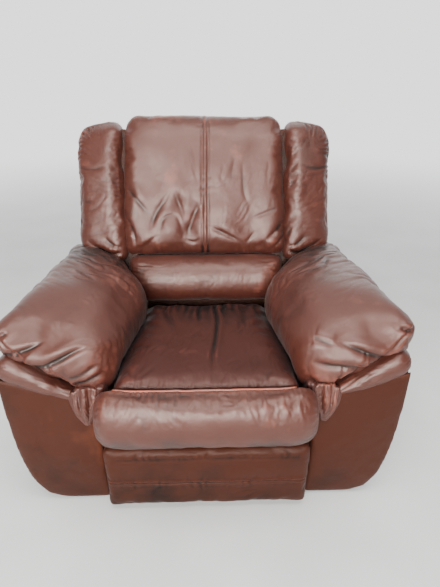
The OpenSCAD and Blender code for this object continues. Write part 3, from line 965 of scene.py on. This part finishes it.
def make_seat():
    ob = from_cad("seat_cushion", 0.004, 0.007, 5)
    p = coords(ob)
    puff(ob, 3, 0.006, 0.02, pin=step(0.39, 0.36, p[:, 2]))
    fill_box(ob, "seat_cushion", (8, 7, 0), (8, 26, 6))
    skin = Skin(subdivide(ob))
    x, y, z = skin.p.T
    top = step(395, 420, z)
    down = (0, 0, -1)
    skin.move += top * (5 * bell(y, -150, 190) * bell(x, 0, 230) + 4.5 * noise(skin.p / 120 + 5))
    skin.fold([(27, 60, 0), (36, -53, 0), (30, -150, 0), (26, -195, 0), (17, -275, 0), (20, -360, 0)], 6, 8, 0.5,
              (1, 0, 0), (0.05, 0.3), 0.9, look=down)
    skin.fold([(-21, 62, 0), (-25, 0, 0), (-20, -70, 0)], 6, 6, 0.5, (-1, 0, 0), (0.05, 0.5), 0.8, look=down)
    skin.fold([(-150, 62, 0), (-120, -40, 0), (-75, -150, 0)], 14, 4, 0.3, (-1, 0, 0), (0.1, 0.5), 0.4, look=down)
    skin.fold([(130, 62, 0), (120, -60, 0), (90, -170, 0)], 14, 3.5, 0.3, (1, 0, 0), (0.1, 0.5), 0.4, look=down)
    rear = [(-185, 66, 425), (0, 68, 425), (185, 66, 425)]
    skin.ruffle(rear, 80, 27, 4.0, (0, -1, 0), look=down, seed=2.0)
    front = [(-232, -388, 425), (0, -390, 428), (232, -388, 425)]
    skin.ruffle(front, 60, 15, 1.6, (0, 1, 0), look=down, seed=4.0)
    skin.wrinkles(top * step(-0.2, 0.4, noise(skin.p / 100 + 1)), 22, (0.25, 1, 0), 1.7, 4.0, seed=3.0)
    # Painted light at the front edge and painted shade towards the rear, under the back
    skin.tone += 0.6 * step(-200, -390, y) - 1.2 * step(-160, 30, y)
    skin.done()
    cushion(ob, "seat", "seat_cushion", mat=SEAT_SHADED)


def make_roll():
    ob = from_cad("seat_front_roll", 0.004, 0.0065, 6)
    puff(ob, 4, 0.008, 0.02)
    fill_box(ob, "seat_front_roll", (3, 2, 2), (3, 2, 4))
    skin = Skin(subdivide(ob))
    x, y, z = skin.p.T
    face = step(-395, -425, y)
    band = face * bell(z, 405, 34)
    for way, seed in (((0.03, -0.5, -0.85), 2.0), ((0.3, -0.45, -0.8), 5.0), ((-0.3, -0.45, -0.8), 8.0)):
        skin.wrinkles(band * step(-0.25, 0.3, noise(skin.p / 90 + seed)), 15, way, 1.9, 8.0, seed=seed)
    skin.wrinkles(face, 40, (0.1, -0.5, -0.8), 1.6, 4.0, seed=11.0, sharp=False)
    # Painted shade on the roll's lower half
    skin.tone -= 0.9 * step(380, 290, z)
    top = [(-262, -402, 428), (-100, -403, 430), (0, -403, 430), (140, -403, 430), (262, -402, 428)]
    skin.ruffle(top, 62, 15, 2.6, (0, -1, -0.5), seed=1.0)
    skin.fold(top, 5, 5, 0.8, (0, -1, 0), (0.02, 0.02), 0.7)
    for side in (-1, 1):
        end = mirrored(side, (270, -400, 420), (281, -440, 380), (281, -445, 330), (270, -420, 285))
        skin.seam(end, 3, 2.5, 1.0)
        skin.ruffle(end, 38, 13, 2.4, (-side, 0, 0), seed=3.0 + side)
    skin.done()
    cushion(ob, "seat", "seat_front_roll")
    welt = [(-238, -400, 436), (-100, -401, 438), (0, -401, 438), (120, -401, 438), (232, -400, 436)]
    welt = skin_line(ob, welt, 1.2)
    trim(tube("seat_welt", welt, 3.4, 10), "seat", WELT)
    trim(stitches("seat_welt_stitches", ob, [shifted(welt, y=-9)]), "seat", THREAD)


def skin_line(ob, points, lift):
    """A line in millimetres laid on a finished piece."""
    tree = BVHTree.FromObject(ob, bpy.context.evaluated_depsgraph_get())
    out = []
    for q in spline(points, 60):
        hit = tree.find_nearest(Vector(q / MM))
        out.append((np.array(hit[0]) + lift / MM * np.array(hit[1])) * MM)
    out = np.array(out)
    for _ in range(3):
        out[1:-1] = (out[:-2] + out[1:-1] * 2 + out[2:]) / 4
    return out


make_seat()
make_roll()

# ---------------------------------------------------------------- back


def on_back(*points, y=-124):
    return from_back([(x, y, z) for x, z in points])


# Hollows and swellings of the back pad's lower half: x, z, radius and depth
DENTS = [
    (-90, 430, 34, 12), (-55, 345, 30, 11), (-30, 410, 26, 9), (-190, 410, 40, 7), (-118, 345, 34, -9),
    (-70, 470, 34, -6), (150, 400, 60, 6), (95, 330, 40, -6), (60, 400, 50, -4), (-205, 330, 34, -6),
    (215, 330, 40, -7),
]
# Its folds: the line each follows, its width and depth, and the side that swells
BACK_FOLDS = [
    ([(-262, 495), (-225, 445), (-185, 395)], 7, 6, (1, 0, 0)),
    ([(-190, 340), (-162, 408), (-108, 488)], 10, 7, (-1, 0, 0)),
    ([(-105, 488), (-80, 415), (-62, 350)], 8, 6, (-1, 0, 0)),
    ([(-158, 330), (-140, 385), (-100, 396), (-82, 360), (-80, 305)], 6, 5, (0, 0, 1)),
    ([(-62, 330), (-40, 390), (-14, 445)], 9, 7, (1, 0, 0)),
    ([(-70, 318), (-40, 305), (-12, 325)], 6, 6, (0, 0, -1)),
    ([(-52, 640), (-38, 565), (-14, 480)], 5, 3.5, (-1, 0, 0)),
    ([(68, 570), (50, 500)], 5, 2.5, (1, 0, 0)),
    ([(105, 585), (88, 525)], 5, 2.5, (1, 0, 0)),
    ([(130, 575), (134, 470), (162, 415)], 5, 3.5, (1, 0, 0)),
    ([(12, 360), (80, 328), (145, 292)], 8, 8, (0, 0, 1)),
    ([(138, 298), (178, 348)], 6, 4, (-1, 0, 0)),
    ([(282, 385), (240, 340), (198, 296)], 8, 7, (0, 0, 1)),
    ([(282, 345), (258, 308), (228, 278)], 6, 6, (0, 0, 1)),
    ([(160, 385), (205, 402), (260, 424)], 6, 4, (0, 0, -1)),
    ([(-258, 370), (-232, 305)], 7, 5, (-1, 0, 0)),
    ([(-245, 280), (-205, 300), (-155, 335)], 7, 6, (0, 0, -1)),
    ([(-280, 420), (-245, 350), (-240, 300)], 6, 4, (-1, 0, 0)),
]


def make_back_pad():
    ob = from_cad("back_pad", 0.008, 0.007, 18)
    q = in_back(coords(ob))
    puff(ob, 4, 0.009, 0.03, pin=step(-40, -10, q[:, 1]))
    fill_box(ob, "back_pad", (6, 5, 12), (6, 0, 2), tilted=True)
    q = in_back(coords(ob))
    q[:, 0] *= 1 + 0.014 * step(-40, -80, q[:, 1])
    q[:, 2] += step(600, 720, q[:, 2]) * (6 * bell(q[:, 0], -80, 150) - 5 * np.abs(q[:, 0] / 280) ** 4)
    set_coords(ob, from_back(q) / MM)
    skin = Skin(subdivide(ob))
    q = in_back(skin.p / MM)
    x, y, z = q.T
    face = step(-60, -95, y)
    skin.move += face * (5 * bell(z, 520, 170) + 4 * noise(skin.p / 120 + 2))
    # Hollows in the lower half, either side of the centre seam, with painted shade in the hollows and painted
    # light on the swellings
    for cx, cz, r, depth in DENTS:
        dent = np.exp(-(((x - cx) / r) ** 2) - ((z - cz) / (1.2 * r)) ** 2)
        skin.move -= face * depth * dent
        skin.tone -= 0.02 * depth * face * dent
    for line, width, depth, way in BACK_FOLDS:
        width, depth, way = 0.8 * width, 0.6 * depth, back_way(*way)
        skin.fold(on_back(*line), width, depth, 0.6, way, (0.3, 0.45), 0.5, look=BACK_FRONT, soft=1.9)
    low = face * step(640, 500, z)
    skin.wrinkles(low * step(-0.1, 0.5, noise(skin.p / 80 + 4)), 21, (0.1, 0.3, 1), 1.3, 4.0, seed=4.0)
    skin.wrinkles(low * step(0.1, 0.6, noise(skin.p / 90 + 6)), 18, (0.7, 0.2, 0.7), 1.1, 4.0, seed=6.0)
    skin.wrinkles(face, 60, (0.1, 0.3, 1), 1.6, 2.0, seed=9.0, sharp=False)
    # Centre seam: a raised strip between two rows of stitches, with painted shade in the grooves beside it
    seam = on_back((3, 735), (4, 650), (2, 500), (1, 380), (0, 262))
    near, dist, _, _, facing = skin.seen(seam, BACK_FRONT, 60)
    skin.move[near] += facing * (1.8 * np.exp(-((dist / 5.5) ** 4)) - 3.4 * bell(dist, 9, 4.5))
    skin.tone[near] -= facing * 0.6 * bell(dist, 9, 3.5)
    skin.ruffle(seam, 30, 24, 0.9, None, look=BACK_FRONT, seed=2.0)
    bottom = on_back((-262, 272), (-120, 268), (0, 267), (130, 268), (262, 272))
    skin.ruffle(bottom, 36, 21, 1.7, BACK_UP, look=BACK_FRONT, seed=3.0)
    for side in (-1, 1):
        edge = on_back((side * 273, 290), (side * 276, 450), (side * 272, 640))
        skin.ruffle(edge, 30, 24, 1.3, (-side, 0, 0), look=BACK_FRONT, seed=5.0 + side)
        corner = on_back((side * 272, 610), (side * 262, 668), (side * 225, 712))
        skin.ruffle(corner, 40, 12, 2.6, None, seed=7.0)
    skin.done()
    cushion(ob, "back", "back_pad")
    rows = [shifted(seam, x=off) for off in (-9, 9)]
    trim(stitches("back_pad_stitches", ob, rows), "back", THREAD)


def make_wing(name, side):
    ob = from_cad(f"back_wing_{name}", 0.004, 0.0065, 12)
    q = in_back(coords(ob))
    puff(ob, 4, 0.008, 0.03, pin=step(-40, -10, q[:, 1]))
    wide = (7, 2) if side > 0 else (2, 7)
    fill_box(ob, f"back_wing_{name}", (wide[0], 4, 4), (wide[1], 0, 3), tilted=True)
    # Its foot rests on the arm pad and reaches further down towards the lumbar roll
    q = in_back(coords(ob))
    out = side * q[:, 0]
    foot = step(430, 300, q[:, 2])
    q[:, 2] -= foot * (22 + 36 * step(400, 300, out))
    q[:, 0] -= side * 9 * foot * step(400, 290, out)
    set_coords(ob, from_back(q) / MM)
    skin = Skin(subdivide(ob))
    x, y, z = in_back(skin.p / MM).T
    out = side * x
    skin.move += 3.2 * noise(skin.p / 90 + side)
    rim = mirrored(side, (432, -60, 300), (434, -66, 500), (424, -62, 640), (395, -62, 690), (330, -62, 708))
    skin.seam(from_back(rim), 3.5, 4.0, 1.5)
    high = from_back(mirrored(side, (434, -70, 520), (426, -70, 640), (398, -72, 684), (330, -80, 704)))
    skin.ruffle(high, 46, 19, 6.0, back_way(-side * 0.7, -0.5, -0.5), seed=2.0 + side)
    skin.wrinkles(step(-40, -80, y) * step(600, 480, z), 24, (1, 0.15 * side, 0.35), 1.2, 4.0, seed=4.0 + side)
    skin.wrinkles(step(-40, -80, y) * step(0, 0.5, noise(skin.p / 60)), 30, (0.5, 0.2, 1), 1.0, 2.5, seed=6.0)
    for line, width, depth in (
        ([(286, 272), (330, 268), (378, 292), (420, 322)], 6, 6),
        ([(290, 288), (322, 300), (352, 330)], 5, 4),
        ([(430, 560), (372, 552), (315, 566)], 6, 2),
        ([(420, 450), (370, 440)], 6, 1.5),
    ):
        line = on_back(*[(side * a, b) for a, b in line])
        skin.fold(line, width, depth, 0.7, BACK_UP, (0.1, 0.5), 0.7, look=BACK_FRONT, soft=1.6)
    foot = on_back((side * 285, 262), (side * 350, 268), (side * 425, 282), y=-90)
    skin.ruffle(foot, 40, 17, 2.4, BACK_UP, look=BACK_FRONT, seed=8.0)
    inner = on_back((side * 286, 320), (side * 284, 500), (side * 286, 680))
    skin.ruffle(inner, 26, 22, 1.2, (side, 0, 0), look=BACK_FRONT, seed=9.0)
    skin.done()
    cushion(ob, "back", f"back_wing_{name}")


# The gusset's sections: height, and its inner and outer x
GUSSET = ((200, 226, 290), (228, 228, 302), (262, 228, 324), (330, 254, 324), (690, 256, 304))


def make_gusset(name, side):
    """Leather that closes the gap between wing, back cushion and lumbar roll, tucked in at its foot."""
    rings = [(side * x, y, z) for z, x0, x1 in GUSSET for x, y in ((x0, -82), (x1, -82), (x1, -8), (x0, -8))]
    walls = [
        (4 * i + k, 4 * i + (k + 1) % 4, 4 * i + 4 + (k + 1) % 4, 4 * i + 4 + k)
        for i in range(len(GUSSET) - 1)
        for k in range(4)
    ]
    ob = new_mesh(f"back_gusset_{name}", from_back(rings) / MM, [(3, 2, 1, 0), (16, 17, 18, 19)] + walls)
    smooth(remesh(ob, 0.006), 6)
    # Painted shade: the whole gusset is darkened, as it sits deep in the gap
    crinkle(subdivide(ob), -1.4, 22, (0.6 * side, 0, 1), 1.4, 4.0, seed=2.0)
    padding(ob, "back", PANEL)


def make_back_band():
    """The leather border that joins the cushions of the back to its outer panel, over the frame's edges."""
    sides = [((s * 432 - 5, 0, 298), (s * 432 + 5, 62, 676)) for s in (-1, 1)]
    ob = box_mesh("outer_back_band", *sides, ((-437, 0, 666), (437, 66, 678)))
    set_coords(ob, from_back(coords(ob)) / MM)
    smooth(remesh(ob, 0.004), 3)
    skin = Skin(ob)
    skin.wrinkles(1.0, 26, (0.2, 1, 0.2), 1.6, 3.0, seed=4.0)
    skin.move += 1.5 * noise(skin.p / 70)
    skin.done()
    padding(ob, "back", PANEL)


def make_lumbar():
    ob = from_cad("lumbar_roll", 0.002, 0.0065, 6)
    q = in_back(coords(ob))
    puff(ob, 4, 0.009, 0.02, pin=step(-30, -10, q[:, 1]))
    fill_box(ob, "lumbar_roll", (34, 3, 3), (34, 0, 14), tilted=True)
    q = in_back(coords(ob))
    rise = (q[:, 2] - 175) / 80
    q[:, 0] *= 1 + np.where(rise > 0, 0.15, 0.04) * rise**2 * step(-10, -60, q[:, 1])
    set_coords(ob, from_back(q) / MM)
    skin = Skin(subdivide(ob))
    x, y, z = in_back(skin.p / MM).T
    face = step(-60, -110, y)
    skin.wrinkles(face * (0.6 + 0.4 * noise(skin.p / 60)), 17, (0.04, -0.2, 1), 1.0, 5.0, seed=2.0)
    skin.wrinkles(face, 46, (0.08, -0.2, 1), 2.0, 3.0, seed=5.0, sharp=False)
    for side in (-1, 1):
        end = from_back(mirrored(side, (238, -90, 245), (246, -110, 180), (236, -90, 110)))
        skin.ruffle(end, 80, 17, 5.0, (-side, 0, 0), seed=3.0 + side)
    top = from_back([(-230, -120, 242), (0, -128, 246), (230, -120, 242)])
    skin.ruffle(top, 34, 14, 2.2, -BACK_UP, seed=6.0)
    skin.done()
    cushion(ob, "back", "lumbar_roll")


def make_outer_back():
    ob = from_cad("outer_back_upper", 0.002, 0.007, 4, "outer_back_soft")
    skin = Skin(subdivide(ob))
    x, y, z = in_back(skin.p / MM).T
    rear = step(60, 90, y)
    skin.move += rear * (3.0 * bell(z, 480, 160) * bell(x, 0, 330) + 1.8 * noise(skin.p / 120 + 4))
    for side in (-1, 1):
        line = from_back(mirrored(side, (250, 110, 690), (255, 110, 500), (262, 80, 290)))
        skin.seam(line, 3.2, 2.6, 1.2, look=BACK_REAR)
        skin.ruffle(line, 30, 22, 1.6, None, look=BACK_REAR, seed=2.0 + side)
    top = from_back([(-400, 100, 678), (0, 112, 682), (400, 100, 678)])
    skin.ruffle(top, 60, 26, 2.4, None, look=BACK_REAR, seed=5.0)
    skin.wrinkles(rear * step(0, 0.5, noise(skin.p / 110)), 32, (0.3, 0, 1), 1.4, 3.0, seed=3.0)
    skin.done()
    cushion(ob, "back", "outer_back_upper", mat=PANEL)
    rows = [
        from_back([(side * 250 + off, 118, 680), (side * 255 + off, 112, 500), (side * 262 + off, 84, 300)])
        for side in (-1, 1)
        for off in (-6, 6)
    ]
    trim(stitches("outer_back_stitches", ob, rows), "back", THREAD)


make_back_pad()
for name, side in SIDES:
    make_wing(name, side)
    make_gusset(name, side)
make_lumbar()
make_outer_back()
make_back_band()
make_panel("outer_back_lower_soft", "outer_back_lower", (0, -1, 0), 3, body="back")

# ---------------------------------------------------------------- footrest


def make_footrest():
    ob = from_cad("footrest_pad", 0.001, 0.005, 4)
    p = coords(ob)
    puff(ob, 2, 0.004, 0.015, pin=step(-0.400, -0.394, p[:, 1]))
    fill_box(ob, "footrest_pad", (2, 2, 2), (2, 0, 4))
    skin = Skin(subdivide(ob))
    x, y, z = skin.p.T
    face = step(-398, -410, y)
    skin.move += face * (3.5 * bell(z, 170, 60) + 1.5 * bell(z, 50, 30) + 1.6 * noise(skin.p / 90))
    line = [(-280, -418, 118), (0, -420, 116), (280, -418, 118)]
    skin.seam(line, 2.6, 3.0, 1.6)
    skin.ruffle(line, 30, 22, 1.2, None)
    lip = [(-278, -412, 218), (0, -414, 220), (278, -412, 218)]
    skin.fold([(-270, -418, 205), (0, -420, 207), (270, -418, 205)], 7, 1.8, 0.8, (0, 0, 1), (0.05, 0.05), 0.2)
    skin.ruffle(lip, 26, 20, 1.2, (0, 0, -1), seed=3.0)
    skin.wrinkles(face * step(0, 0.5, noise(skin.p / 80 + 2)), 26, (1, 0, 0.2), 1.0, 3.0, seed=3.0)
    # Painted shade: the footrest is darkened all over, more towards the bottom, under the front roll
    skin.tone -= 0.3 + 0.6 * step(150, 30, z)
    skin.done()
    cushion(ob, "footrest", "footrest_pad", mat=PANEL)
    trim(stitches("footrest_stitches", ob, [shifted(line, y=-4, z=5)]), "footrest", THREAD)


make_footrest()

# ---------------------------------------------------------------- what the CAD already shows rightly

OTHER = {"back_webbing": WEBBING, "footrest_springs": SPRING, "seat_springs": SPRING}
OTHER.update({name: PLASTIC for name in ("glides", "handle_bezel", "slide_bars", "release_cable")})
COVERED = ("arm_inner_board_left", "arm_inner_board_right", "arm_top_boards", "arm_posts", "base_rail_rear")
for name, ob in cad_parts.items():
    if ob.hide_render:
        continue
    is_wood = any(k in name for k in ("rail", "post", "board"))
    mat = OTHER.get(name, PANEL if name in COVERED else WOOD if is_wood else STEEL)
    if not ob.data.materials:
        ob.data.materials.append(mat)
    for slot in ob.material_slots:
        slot.link = "OBJECT"
        slot.material = mat
